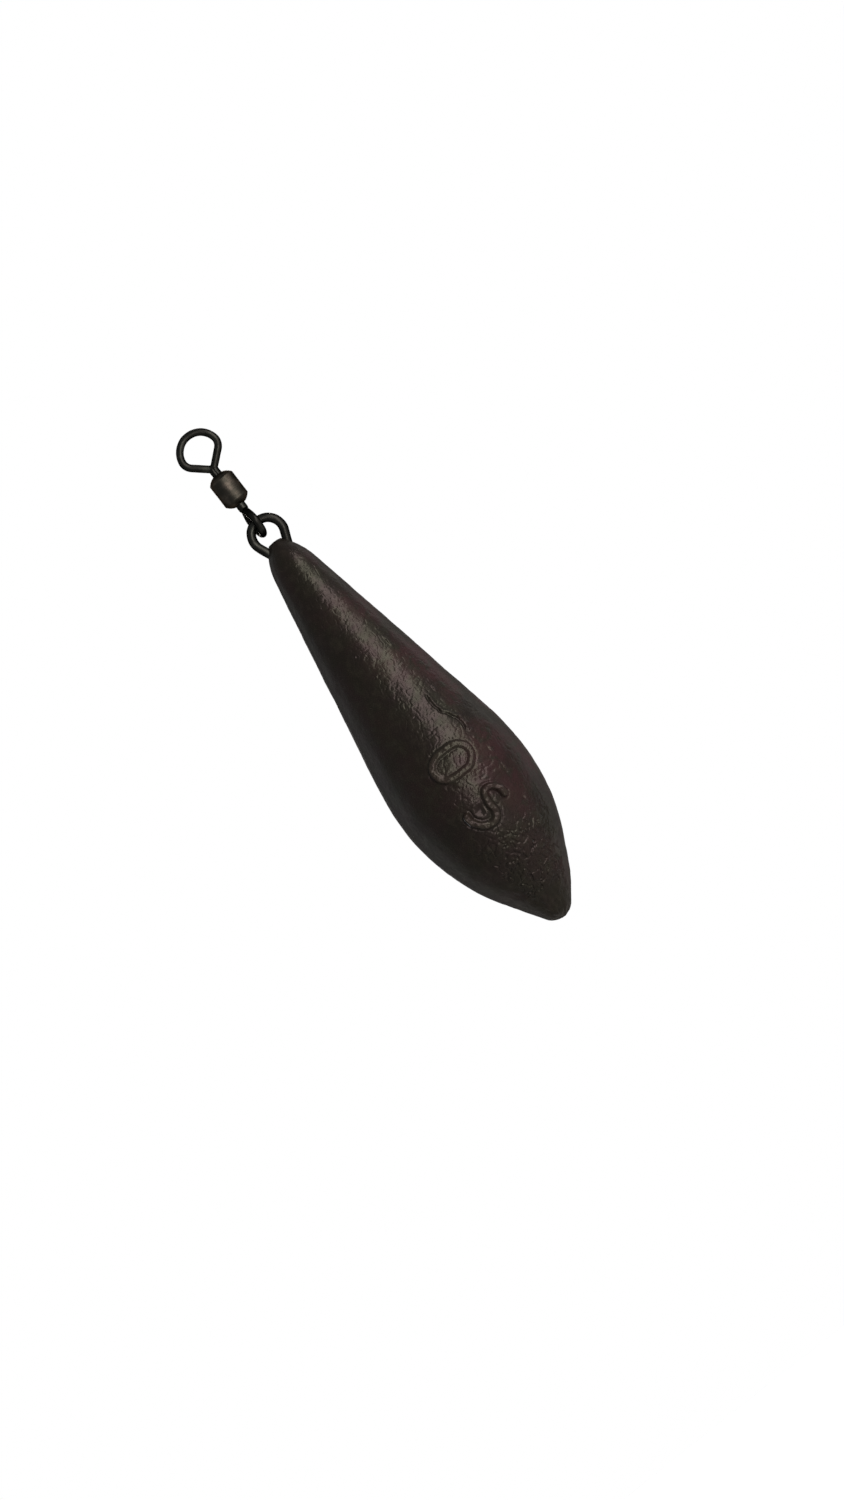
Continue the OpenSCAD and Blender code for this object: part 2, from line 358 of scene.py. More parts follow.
@dataclass(frozen=True)
class BronzedBrass(DarkenedMetal):
    """Bronzed brass: a turned barrel that a chemical bath has darkened.

    The lathe leaves faint rings, and the bath leaves a thin brown black skin of uneven depth. The eye
    sees a dark satin metal that is slightly warm, cloudy, and brushed across by its rings.
    """

    name: str = "bronzed_brass"
    skin: str = "#1d1c19"
    cloud: str = "#2f2b27"
    cloud_mm: float = 1.0
    cloud_detail: int = 4
    cloud_span: Pair = (0.4, 0.7)
    grain_mm: float = 0.2
    grain_detail: int = 2
    grain_depth_mm: float = 0.006
    roughness: Pair = (0.44, 0.44)
    edge: str = "#a5a29e"
    # The lathe's rings are about 0.05 mm apart, and are drawn as coarse as they need to show.
    ring_mm: float = 0.12
    ring_depth_mm: float = 0.003


@dataclass(frozen=True)
class CastLead(DarkenedMetal):
    """Cast lead: poured into a split mould, and dulled by its own oxide.

    The metal freezes against the mould, so it is matt, lightly frosted and faintly pitted, and the
    eye sees a soft blue grey with darker clouds of oxide.
    """

    name: str = "cast_lead"
    skin: str = "#7d7f82"
    cloud: str = "#55575a"
    cloud_mm: float = 3.0
    cloud_detail: int = 5
    cloud_span: Pair = (0.35, 0.65)
    grain_mm: float = 0.5
    grain_detail: int = 3
    grain_depth_mm: float = 0.03
    roughness: Pair = (0.5, 0.65)


class BentWire:
    """Sweeps a round section through straights and bends in the XY plane, as a wire is bent.

    Attributes:
        mesh: The wire so far.
        place: The middle of the section at its working end.
        heading: The direction there, in degrees from +X.
    """

    def __init__(self, start: Vector, heading: float, radius: float, facets: int, capped: bool) -> None:
        """Sets the first section.

        Args:
            start: The middle of the first section.
            heading: The wire's first direction, in degrees from +X.
            radius: The wire's radius.
            facets: The sides of its section.
            capped: Whether the first section is closed by a face.
        """
        self.mesh = bmesh.new()
        self.place = Vector(start)
        self.heading = heading
        turned = Matrix.Rotation(math.radians(heading), 4, "Z") @ Matrix.Rotation(math.pi / 2, 4, "Y")
        made = bmesh.ops.create_circle(
            self.mesh,
            cap_ends=capped,
            segments=facets,
            radius=radius,
            matrix=Matrix.Translation(self.place) @ turned,
        )
        rim = set(made["verts"])
        self.section = [edge for edge in self.mesh.edges if set(edge.verts) <= rim]

    def direction(self) -> Vector:
        """The unit direction at the working end."""
        turn = math.radians(self.heading)
        return Vector((math.cos(turn), math.sin(turn), 0))

    def run(self, length: float, steps: int) -> None:
        """Adds a straight stretch.

        Args:
            length: Its length.
            steps: Its number of sections.
        """
        stride = self.direction() * (length / steps)
        for _ in range(steps):
            grown = bmesh.ops.extrude_edge_only(self.mesh, edges=self.section)["geom"]
            verts = [part for part in grown if isinstance(part, BMVert)]
            edges = [part for part in grown if isinstance(part, BMEdge)]
            self.section = [edge for edge in edges if set(edge.verts) <= set(verts)]
            bmesh.ops.translate(self.mesh, verts=verts, vec=stride)
        self.place = self.place + self.direction() * length

    def bend(self, radius: float, turn: float, steps: int) -> None:
        """Adds a bend.

        Args:
            radius: Its radius to the middle of the wire.
            turn: Its angle in degrees, to the left if above 0.
            steps: Its number of sections.
        """
        side = math.copysign(1, turn)
        ahead = self.direction()
        centre = self.place + Vector((-ahead.y, ahead.x, 0)) * (side * radius)
        verts = list(dict.fromkeys(vert for edge in self.section for vert in edge.verts))
        spun = bmesh.ops.spin(
            self.mesh,
            geom=verts + self.section,
            cent=centre,
            axis=(0, 0, 1),
            angle=math.radians(turn),
            steps=steps,
        )
        self.section = [part for part in spun["geom_last"] if isinstance(part, BMEdge)]
        self.place = centre + Matrix.Rotation(math.radians(turn), 3, "Z") @ (self.place - centre)
        self.heading += turn

    def follow(self, stretches: list[tuple[float, float, int]]) -> None:
        """Adds stretches in order.

        Args:
            stretches: The radius, turn and number of sections of each bend, and the length, 0 and
                number of sections of each straight.
        """
        for size, turn, steps in stretches:
            if turn:
                self.bend(size, turn, steps)
            else:
                self.run(size, steps)

    def finish(self, close_end: bool) -> BMesh:
        """Closes the wire and points its faces outwards.

        Args:
            close_end: Whether the last section gets a face, or else meets the first one.

        Returns:
            The finished wire's mesh, lying in the XY plane.
        """
        if close_end:
            bmesh.ops.contextual_create(self.mesh, geom=self.section)
        bmesh.ops.remove_doubles(self.mesh, verts=self.mesh.verts, dist=WELD)
        bmesh.ops.recalc_face_normals(self.mesh, faces=self.mesh.faces)
        return self.mesh


class TurnedShape:
    """Draws half an outline in the XZ plane, point by point, and turns it about the Z axis.

    Attributes:
        mesh: The outline, and then the turned shape.
        tip: The outline's last point.
    """

    def __init__(self, x: float, z: float) -> None:
        """Sets the outline's first point by its distance from the axis and its height."""
        self.mesh = bmesh.new()
        self.first = self.tip = self.mesh.verts.new((x, 0, z))

    def lines(self, spacing: float, *ends: Pair) -> None:
        """Adds straights.

        Args:
            spacing: The greatest distance between points.
            *ends: Each straight's end: its distance from the axis and its height.
        """
        for x, z in ends:
            path = Vector((x, 0, z)) - self.tip.co
            steps = max(1, math.ceil(path.length / spacing))
            for _ in range(steps):
                self.tip = bmesh.ops.extrude_vert_indiv(self.mesh, verts=[self.tip])["verts"][0]
                self.tip.co += path / steps

    def arc(self, x: float, z: float, turn: float, spacing: float) -> None:
        """Adds an arc about a centre.

        Args:
            x: The centre's distance from the axis.
            z: The centre's height.
            turn: The angle in degrees, from +X towards +Z if above 0.
            spacing: The greatest distance between points.
        """
        centre = Vector((x, 0, z))
        length = (self.tip.co - centre).length * abs(math.radians(turn))
        spun = bmesh.ops.spin(
            self.mesh,
            geom=[self.tip],
            cent=centre,
            axis=(0, -1, 0),
            angle=math.radians(turn),
            steps=max(1, math.ceil(length / spacing)),
        )
        self.tip = next(part for part in spun["geom_last"] if isinstance(part, BMVert))

    def close(self) -> None:
        """Joins the outline's last point to its first."""
        self.mesh.edges.new((self.tip, self.first))

    def turn(self, steps: int) -> BMesh:
        """Turns the outline into a closed shape.

        Args:
            steps: The number of steps round the axis.

        Returns:
            The turned mesh, with its faces pointing outwards.
        """
        bmesh.ops.spin(
            self.mesh,
            geom=self.mesh.verts[:] + self.mesh.edges[:],
            cent=(0, 0, 0),
            axis=(0, 0, 1),
            angle=2 * math.pi,
            steps=steps,
            use_merge=True,
        )
        bmesh.ops.remove_doubles(self.mesh, verts=self.mesh.verts, dist=WELD)
        bmesh.ops.recalc_face_normals(self.mesh, faces=self.mesh.faces)
        return self.mesh


def wobble(mesh: BMesh, depth: float, size: float, offset: float) -> None:
    """Moves each vertex along its normal by soft noise, so that no surface is perfectly true.

    Args:
        mesh: The mesh, in millimetres.
        depth: The greatest move.
        size: The size of the waves.
        offset: A place in the noise, which differs from piece to piece.
    """
    mesh.normal_update()
    shift = Vector((offset, offset, offset))
    moves = [vert.normal * (depth * noise.noise(vert.co / size + shift)) for vert in mesh.verts]
    for vert, move in zip(mesh.verts, moves):
        vert.co += move


def show(name: str, data: ID) -> Object:
    """Puts a new object in the scene.

    Args:
        name: Its name.
        data: Its mesh, camera or light.

    Returns:
        The object.
    """
    made = bpy.data.objects.new(name, data)
    bpy.context.scene.collection.objects.link(made)
    return made


def to_object(name: str, mesh: BMesh, relief: list[float] | None = None) -> Object:
    """Makes an object from a mesh, with smooth shading.

    Args:
        name: The piece's name.
        mesh: The mesh, which is freed.
        relief: Values per vertex for the attribute that the coating's finish reads, if it has one.

    Returns:
        The object, still in millimetres.
    """
    data = bpy.data.meshes.new(name)
    mesh.to_mesh(data)
    mesh.free()
    if relief:
        data.attributes.new("relief", "FLOAT", "POINT").data.foreach_set("value", relief)
    data.shade_smooth()
    return show(name, data)


def fuse(mesh: BMesh, voxel: float, passes: int) -> BMesh:
    """Melts overlapping solids into one skin.

    Args:
        mesh: Their mesh, in millimetres, which is freed.
        voxel: The size of the remesh's voxels.
        passes: How often the skin is smoothed.

    Returns:
        The skin.
    """
    solids = to_object("solids", mesh)
    remesh = solids.modifiers.new("melt", "REMESH")
    remesh.mode = "VOXEL"
    remesh.voxel_size = voxel
    bpy.context.view_layer.update()
    melted = bpy.data.meshes.new_from_object(solids.evaluated_get(bpy.context.evaluated_depsgraph_get()))
    skin = bmesh.new()
    skin.from_mesh(melted)
    for _ in range(passes):
        bmesh.ops.smooth_vert(
            skin, verts=skin.verts, factor=0.5, use_axis_x=True, use_axis_y=True, use_axis_z=True
        )
    # This removes the object that holds the solids too.
    bpy.data.meshes.remove(solids.data)
    bpy.data.meshes.remove(melted)
    return skin


def settle(piece: Object, finish: Material, body: str, node: str, place: Matrix) -> None:
    """Brings a piece to its place in metres, dresses it, and lets it stand for its CAD node.

    Args:
        piece: The piece, in millimetres and in its own frame.
        finish: Its material.
        body: The body that it moves with.
        node: The CAD node that it replaces.
        place: From its own frame to the CAD's, in millimetres.
    """
    piece.data.transform(Matrix.Scale(MM, 4) @ place)
    piece.data.materials.clear()
    piece.data.materials.append(finish)
    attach(piece, body)
    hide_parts(node)
    LOG.info("%s: %d faces, rides on %s", piece.name, len(piece.data.polygons), body)


def soft_step(value: float, low: float, high: float) -> float:
    """Rises smoothly from 0 at low to 1 at high."""
    share = min(max((value - low) / (high - low), 0), 1)
    return share * share * (3 - 2 * share)


def hill(distance: float, half_width: float) -> float:
    """A smooth hill that is 1 at a distance of 0 and 0 from half_width on."""
    return 0.5 + 0.5 * math.cos(math.pi * min(abs(distance) / half_width, 1))


def rounded(points: list[Pair], passes: int = 3) -> list[Vector]:
    """Rounds the corners of an open path by cutting each of them.

    Args:
        points: The path's corners.
        passes: How often the corners are cut.

    Returns:
        The points of the rounded path.
    """
    path = [Vector(point) for point in points]
    for _ in range(passes):
        cut = [path[0]]
        for here, there in zip(path, path[1:]):
            cut += [here.lerp(there, 0.25), here.lerp(there, 0.75)]
        path = [*cut, path[-1]]
    return path


def distance_to(path: list[Vector], point: Vector) -> float:
    """Measures how far a point is from a path of straight steps.

    Args:
        path: The path's points.
        point: The point.

    Returns:
        The distance to the nearest place on the path.
    """
    best = math.inf
    for here, there in zip(path, path[1:]):
        nearest, share = geometry.intersect_point_line(point, here, there)
        if share < 0:
            nearest = here
        elif share > 1:
            nearest = there
        best = min(best, (point - nearest.to_2d()).length)
    return best


@dataclass(frozen=True)
class Figure:
    """One raised figure, as a mould with flat-bottomed strokes casts it: its top lies in one plane.

    Attributes:
        path: The middle line of its strokes: the distance from the casting's axis, to +X, and the
            height above the nose tip.
        rise: How far its strokes stand proud of the plane that touches the casting there.
        middle: The middle line of the plateau inside it.
        plateau: How far the plateau reaches to each side of its middle line, 0 if there is none.
        top_half: How far a stroke's flat top reaches to each side of its middle line.
        flank: The width of its sloping side.
        moat: The depth of the faint moat round the strokes.
        moat_gap: From a stroke's middle line to the middle of the moat.
        moat_half: Half of the moat's width.
        wear: The size and strength of each kind of wear that makes the strokes uneven.
    """

    path: list[Vector]
    rise: float
    middle: list[Vector]
    plateau: float
    top_half: float
    flank: float
    moat: float
    moat_gap: float
    moat_half: float
    wear: tuple[Pair, ...] = ((0.7, 0.4), (0.28, 0.2))

    def relief(self, point: Vector, fall: float) -> float:
        """How far the surface stands proud at a place on the front.

        Args:
            point: The place, as in path.
            fall: How far the casting has fallen there below the plane of the figure's top.

        Returns:
            The height over the smooth casting, less than 0 in the faint moat round the strokes.
        """
        away = distance_to(self.path, point)
        stroke = soft_step(self.top_half + self.flank - away, 0, self.flank)
        inside = self.plateau > 0 and distance_to(self.middle, point) < self.plateau
        spot = Vector((point.x, point.y, self.rise))
        worn = 1 + sum(strength * noise.noise(spot / size) for size, strength in self.wear)
        level = fall * (1 if inside else stroke)
        sunk = self.moat * hill(away - self.moat_gap, self.moat_half)
        return level + worn * (self.rise * stroke - sunk)


@dataclass
class WeightFigures:
    """The raised weight figures 5 and 0, which read upwards with their tops to -X."""

    # The middle line of the 0: its middle, as in a Figure's path, its size across and along, and the
    # steps of each of its bows.
    zero_middle: Pair = (0.62, 19.87)
    zero_size: Pair = (4.45, 2.85)
    bow_steps: int = 12
    # The corners that the worn 5's stroke is rounded from.
    five_corners: tuple[Pair, ...] = (
        (-1.62, 14.45), (-1.58, 13.7), (-1.25, 13.1), (-0.58, 12.62), (0.25, 12.32),
        (0.88, 12.6), (1.18, 13.4), (1.1, 14.3), (1.15, 15.2),
        (1.65, 15.7), (2.4, 15.5), (2.8, 14.85), (2.95, 14.1),
    )
    # The plane of the tops faces this way, and the strokes fill this share of the fall below it.
    top_facing: float = 7.0
    flat_share: float = 0.6
    # Where the figures begin and end, across the casting and along it.
    reach_x: Pair = (-3.2, 4.4)
    reach_z: Pair = (10.8, 23.2)
    # How far, in waves of what size, and where in the noise their lines stray.
    stray: float = 0.12
    stray_size: float = 1.3
    stray_shift: Triple = (5, 3, 1)
    figures: list[Figure] = field(default_factory=list)

    def __post_init__(self) -> None:
        """Works out the middle line of each figure's strokes."""
        bow = self.zero_size[1] / 2
        reach = self.zero_size[0] / 2 - bow
        middle = Vector(self.zero_middle)
        turns = [math.pi * step / self.bow_steps for step in range(self.bow_steps + 1)]
        bows = [Vector((reach + bow * math.sin(turn), bow * math.cos(turn))) for turn in turns]
        across = [middle - Vector((reach, 0)), middle + Vector((reach, 0))]
        zero = Figure(
            path=[*(middle + away for away in bows), *(middle - away for away in bows), middle + bows[0]],
            rise=0.14,
            middle=across,
            plateau=bow,
            top_half=0.16,
            flank=0.3,
            moat=0.035,
            moat_gap=0.52,
            moat_half=0.14,
        )
        five = Figure(
            path=rounded(list(self.five_corners)),
            rise=0.3,
            middle=[],
            plateau=0,
            top_half=0.18,
            flank=0.28,
            moat=0.055,
            moat_gap=0.56,
            moat_half=0.16,
        )
        self.figures = [zero, five]

    def relief(self, point: Vector, facing: float) -> float:
        """The relief of both figures at a point of the smooth casting.

        Args:
            point: The point, in the casting's own frame.
            facing: Its direction round the axis in degrees.

        Returns:
            The height of the figures there.
        """
        across = self.reach_x[0] < point.x < self.reach_x[1]
        along = self.reach_z[0] < point.z < self.reach_z[1]
        if not (across and along):
            return 0.0
        wave = point / self.stray_size
        stray = Vector((noise.noise(wave), noise.noise(wave + Vector(self.stray_shift)))) * self.stray
        spot = Vector((point.x, point.z)) + stray
        turn = math.radians(facing - self.top_facing)
        fall = self.flat_share * math.hypot(point.x, point.y) * (1 - math.cos(turn))
        return sum(figure.relief(spot, fall) for figure in self.figures)


@dataclass(frozen=True)
class Blemish:
    """A round lump or pit of the casting's skin.

    Attributes:
        facing: Its direction round the axis in degrees, 0 at the front and above 0 towards +X.
        height: Its height above the nose tip.
        radius: Its radius.
        rise: How far it stands proud, or less than 0 for a pit.
        rim_place_share: How far from a pit's middle its rim is highest, as a share of the radius.
        rim_half_share: How far the rim reaches to each side of that place, as such a share.
        rim_rise_share: How high the rim is, as a share of the pit's depth.
    """

    facing: float
    height: float
    radius: float
    rise: float
    rim_place_share: float = 1.2
    rim_half_share: float = 0.5
    rim_rise_share: float = 0.3

    def relief(self, point: Vector, facing: float) -> float:
        """Works out its relief, with a slight rim round a pit.

        Args:
            point: A point of the smooth casting, in the casting's own frame.
            facing: The point's direction round the axis in degrees.

        Returns:
            The height of the blemish there.
        """
        up = point.z - self.height
        if abs(up) > (self.rim_place_share + self.rim_half_share) * self.radius:
            return 0.0
        turn = math.radians((facing - self.facing + 180) % 360 - 180)
        away = math.hypot(turn * math.hypot(point.x, point.y), up)
        relief = hill(away, self.radius)
        if self.rise < 0:
            rim_place = self.rim_place_share * self.radius
            relief -= self.rim_rise_share * hill(away - rim_place, self.rim_half_share * self.radius)
        return self.rise * relief


@dataclass(frozen=True)
class Wrinkles:
    """The coating's wrinkled skin: soft cells with narrow valleys, coarser low on the front.

    Its strengths are multiples of its heights, and its places are heights above the nose tip.
    """

    cell_size: float = 0.8
    cell_rise: float = 0.02
    fine_size: float = 0.37
    fine_rise: float = 0.014
    fine_share: float = 0.3
    valley_depth: float = 0.03
    valley_half: float = 0.16
    strength: float = 0.9
    # Where in the noise the cells and the fine grain lie.
    cell_shift: Triple = (9, 2, 5)
    fine_shift: Triple = (1, 8, 3)
    # Where the nose's strong wrinkles set in, a fainter band of them by the 5, and the calmer tail.
    nose_strength: float = 2.8
    nose_from: float = 13.0
    nose_full: float = 9.5
    band_strength: float = 0.8
    band_middle: float = 17.1
    band_half: float = 1.5
    tail_calm: float = 0.25
    tail_from: float = 26.0
    tail_full: float = 34.0
    # The front, in degrees: its middle, and how far from it the strong wrinkles end and are full.
    front_middle: float = 12.0
    front_end: float = 60.0
    front_full: float = 35.0

    def relief(self, point: Vector, facing: float) -> float:
        """The height of the skin at a point of the smooth casting.

        Args:
            point: The point, in the casting's own frame.
            facing: Its direction round the axis in degrees.

        Returns:
            The height there.
        """
        front = soft_step(abs(facing - self.front_middle), self.front_end, self.front_full)
        nose = self.nose_strength * soft_step(point.z, self.nose_from, self.nose_full)
        band = self.band_strength * hill(point.z - self.band_middle, self.band_half)
        calm = self.tail_calm * soft_step(point.z, self.tail_from, self.tail_full)
        cells = noise.noise(point / self.cell_size + Vector(self.cell_shift))
        fine = noise.noise(point / self.fine_size + Vector(self.fine_shift))
        valleys = hill(cells + self.fine_share * fine, self.valley_half)
        height = self.cell_rise * cells - self.valley_depth * valleys + self.fine_rise * fine
        return (self.strength + front * max(nose, band) - calm) * height


@dataclass
class Casting:
    """The lead casting and its coating: nose tip, belly, straight tail and rounded top, turned in one.

    Heights are measured from the nose tip, and directions round the axis in degrees from the front.
    """

    length: float = 49.2
    diameter: float = 15.3
    belly_height: float = 16.8
    tip_radius: float = 2.0
    # The radius of the nose's arc, as a share of one that would meet the tip without a straight.
    nose_share: float = 0.92
    tail_radius: float = 30.0
    neck_diameter: float = 5.0
    top_height: float = 3.4
    flat_diameter: float = 1.5
    coat: float = 0.15
    skin_spacing: float = 0.34
    skin_steps: int = 144
    core_spacing: float = 0.6
    core_steps: int = 80
    # The lit front, where the mesh is cut finer.
    front_cuts: int = 3
    front_turns: Pair = (-27.0, 57.0)
    front_heights: Pair = (3.4, 48.5)
    # A cold fold in the metal above the 0, as in a Figure's path: a ragged crack with a raised lip.
    fold_corners: tuple[Pair, ...] = (
        (2.7, 26.9), (2.58, 25.9), (2.81, 25.2), (2.88, 24.6), (3.3, 24.2),
        (3.52, 23.7), (3.8, 23.2), (3.92, 22.6), (3.85, 21.8),
    )
    fold_depth: float = 0.13
    fold_half: float = 0.17
    lip_rise: float = 0.08
    lip_half: float = 0.2
    lip_gap: float = 0.27
    ragged: float = 0.8
    ragged_size: float = 0.6
    # The mould's parting line shows as broken ridges that begin and end near these heights.
    seam_facing: float = 38.0
    seam_dashes: tuple[Pair, ...] = (
        (8.6, 9.9), (11.7, 13.1), (14.8, 17.1), (18.0, 19.3), (26.5, 27.6), (33.0, 34.6),
    )
    dash_half_share: float = 0.6
    seam_rise: float = 0.12
    seam_half: float = 0.19
    seam_stray: float = 0.12
    seam_stray_size: float = 1.5
    lumps: tuple[Blemish, ...] = (
        Blemish(31, 23.9, 0.3, 0.1),
        Blemish(36, 23.1, 0.36, 0.13),
        Blemish(37.5, 22.2, 0.3, 0.12),
        Blemish(35, 21.3, 0.34, 0.14),
        Blemish(33, 20.5, 0.25, 0.08),
        Blemish(7.5, 1.9, 0.3, -0.1),
        Blemish(-0.5, 14.2, 0.65, -0.13),
        Blemish(-62, 33, 0.4, 0.08),
        Blemish(140, 25, 0.5, 0.1),
        Blemish(200, 12, 0.4, 0.09),
    )
    # Pits of the skin: the seed that strews them, and for each kind of them how many there are and
    # the ranges of their direction, height, radius and depth.
    pit_seed: int = 11
    pits: tuple[tuple[int, tuple[Pair, ...]], ...] = (
        (70, ((-180, 180), (3, 46), (0.12, 0.3), (0.02, 0.06))),
        (70, ((-12, 42), (4, 11.5), (0.14, 0.32), (0.04, 0.09))),
    )
    # Soft waves of the skin: their size, their depth, and their place in the noise.
    waves: tuple[tuple[float, float, Triple], ...] = (
        (7.0, 0.06, (0, 0, 0)),
        (2.6, 0.04, (3, 7, 1)),
        (1.3, 0.014, (6, 4, 8)),
    )
    # The chipped edge of the top, and the nose's fuller right side, which sets in between these two
    # values of a normal's X.
    chip_depth: float = 0.1
    chip_size: float = 0.9
    chip_reach: float = 1.6
    bulge_rise: float = 0.25
    bulge_height: float = 3.4
    bulge_half: float = 3.2
    bulge_side: Pair = (0.3, 1.0)
    # The relief attribute goes from 0 to 1 over this much height, half of it on each side of level.
    relief_span: float = 0.4
    figures: WeightFigures = field(default_factory=WeightFigures)
    wrinkles: Wrinkles = Wrinkles()

    def __post_init__(self) -> None:
        """Rounds the fold and strews small pits over the skin."""
        self.fold = rounded(list(self.fold_corners), 2)
        chance = random.Random(self.pit_seed)
        self.blemishes = list(self.lumps)
        for count, ranges in self.pits:
            for _ in range(count):
                facing, height, radius, depth = (chance.uniform(*span) for span in ranges)
                self.blemishes.append(Blemish(facing, height, radius, -depth))

    def turned(self, inset: float, spacing: float, steps: int) -> BMesh:
        """The smooth casting, drawn in by an inset.

        Args:
            inset: The distance from the outer surface.
            spacing: The distance between the outline's points.
            steps: The number of steps round the axis.

        Returns:
            The turned mesh in the casting's own frame.
        """
        body_r, neck_r = self.diameter / 2, self.neck_diameter / 2
        neck_z = self.length - self.top_height
        fullest = (body_r**2 + self.belly_height**2 - 2 * self.belly_height * self.tip_radius) / (
            2 * (body_r - self.tip_radius)
        )
        nose_arc = self.nose_share * fullest
        nose_x = body_r - nose_arc
        rise = self.belly_height - self.tip_radius
        nose_slope = math.atan2(rise, -nose_x) - math.acos(
            (nose_arc - self.tip_radius) / math.hypot(nose_x, rise)
        )
        across = (nose_arc - inset) * math.cos(nose_slope)
        down = (nose_arc - inset) * math.sin(nose_slope)
        tail_x = body_r - self.tail_radius
        tail_rise = neck_z - self.belly_height
        tail_slope = math.atan2(tail_rise, neck_r - tail_x) - math.acos(
            self.tail_radius / math.hypot(neck_r - tail_x, tail_rise)
        )
        step_x, step_z = self.flat_diameter / 2 - neck_r, self.top_height
        top_arc = -(step_x**2 + step_z**2) / (
            2 * (step_x * math.cos(tail_slope) + step_z * math.sin(tail_slope))
        )
        top_x = neck_r - top_arc * math.cos(tail_slope)
        top_z = neck_z - top_arc * math.sin(tail_slope)
        top_end = math.asin((self.length - inset - top_z) / (top_arc - inset))

        shape = TurnedShape(0, inset)
        shape.arc(0, self.tip_radius, 90 - math.degrees(nose_slope), spacing)
        shape.lines(spacing, (nose_x + across, self.belly_height - down))
        shape.arc(nose_x, self.belly_height, math.degrees(nose_slope), spacing)
        shape.arc(tail_x, self.belly_height, math.degrees(tail_slope), spacing)
        neck = (neck_r - inset * math.cos(tail_slope), neck_z - inset * math.sin(tail_slope))
        shape.lines(spacing, neck)
        shape.arc(top_x, top_z, math.degrees(top_end - tail_slope), spacing)
        shape.lines(spacing, (0, self.length - inset))
        return shape.turn(steps)

    def facing(self, point: Vector) -> float:
        """A point's direction round the axis in degrees, 0 at the front and above 0 towards +X."""
        return math.degrees(math.atan2(point.x, -point.y))

    def refine_front(self, mesh: BMesh) -> None:
        """Cuts the faces of the lit front finer, so that its figures and marks are in the mesh itself.

        Args:
            mesh: The smooth casting.
        """
        faces = []
        for face in mesh.faces:
            middle = face.calc_center_median()
            in_front = self.front_turns[0] < self.facing(middle) < self.front_turns[1]
            if in_front and self.front_heights[0] < middle.z < self.front_heights[1]:
                faces.append(face)
        edges = list(dict.fromkeys(edge for face in faces for edge in face.edges))
        bmesh.ops.subdivide_edges(mesh, edges=edges, cuts=self.front_cuts, use_grid_fill=True)

    def fine_relief(self, point: Vector, facing: float) -> float:
        """The small raised and sunk marks of the mould at a point of the smooth surface.

        Args:
            point: The point, in the casting's own frame.
            facing: Its direction round the axis in degrees.

        Returns:
            The height of the marks there.
        """
        relief = sum(blemish.relief(point, facing) for blemish in self.blemishes)
        if point.y < 0:
            relief += self.figures.relief(point, facing)
            if self.fold[-1].y - self.lip_half < point.z < self.fold[0].y + self.lip_half:
                front = Vector((point.x, point.z))
                crack = self.fold_depth * hill(distance_to(self.fold, front), self.fold_half)
                beside = distance_to(self.fold, front - Vector((self.lip_gap, 0)))
                lip = self.lip_rise * hill(beside, self.lip_half)
                relief += (lip - crack) * (1 + self.ragged * noise.noise(point / self.ragged_size))
        for seam in (self.seam_facing, self.seam_facing - 180):
            away = math.radians((facing - seam + 180) % 360 - 180) * math.hypot(point.x, point.y)
            if abs(away) < self.seam_half + self.seam_stray:
                dash = max(
                    hill(point.z - (low + high) / 2, self.dash_half_share * (high - low))
                    for low, high in self.seam_dashes
                )
                away += self.seam_stray * noise.noise(point / self.seam_stray_size)
                relief += self.seam_rise * dash * hill(away, self.seam_half)
        return relief

    def dressed(self, inset: float, spacing: float, steps: int) -> tuple[BMesh, list[float]]:
        """The casting with all its marks.

        Args:
            inset: The distance from the outer surface.
            spacing: The distance between the outline's points.
            steps: The number of steps round the axis.

        Returns:
            The mesh, and each vertex's relief: 0 in a hollow, 0.5 where it is level, 1 on a ridge.
        """
        mesh = self.turned(inset, spacing, steps)
        self.refine_front(mesh)
        mesh.normal_update()
        levels, moves = [], []
        for vert in mesh.verts:
            point, facing = vert.co, self.facing(vert.co)
            marks = self.fine_relief(point, facing) + self.wrinkles.relief(point, facing)
            waves = sum(
                depth * noise.noise(point / size + Vector(shift)) for size, depth, shift in self.waves
            )
            chipped = self.chip_depth * soft_step(point.z, self.length - self.chip_reach, self.length)
            chips = chipped * noise.noise(point / self.chip_size)
            side = soft_step(vert.normal.x, *self.bulge_side)
            bulge = self.bulge_rise * side * hill(point.z - self.bulge_height, self.bulge_half)
            moves.append(vert.normal * (marks + waves + chips + bulge))
            levels.append(0.5 + marks / self.relief_span)
        for vert, move in zip(mesh.verts, moves):
            vert.co += move
        return mesh, levels

    def build(self, coating: Material, lead: Material, place: Matrix) -> None:
        """Builds the coating's skin and the lead under it.

        Args:
            coating: The coating's finish.
            lead: The lead's finish.
            place: From its own frame, whose origin is the nose tip, to the CAD's.
        """
        skin = to_object("coating_skin", *self.dressed(0, self.skin_spacing, self.skin_steps))
        settle(skin, coating, "sinker", "coating", place)
        mesh, _ = self.dressed(self.coat, self.core_spacing, self.core_steps)
        core = to_object("lead_casting", mesh)
        settle(core, lead, "sinker", "lead_core", place)


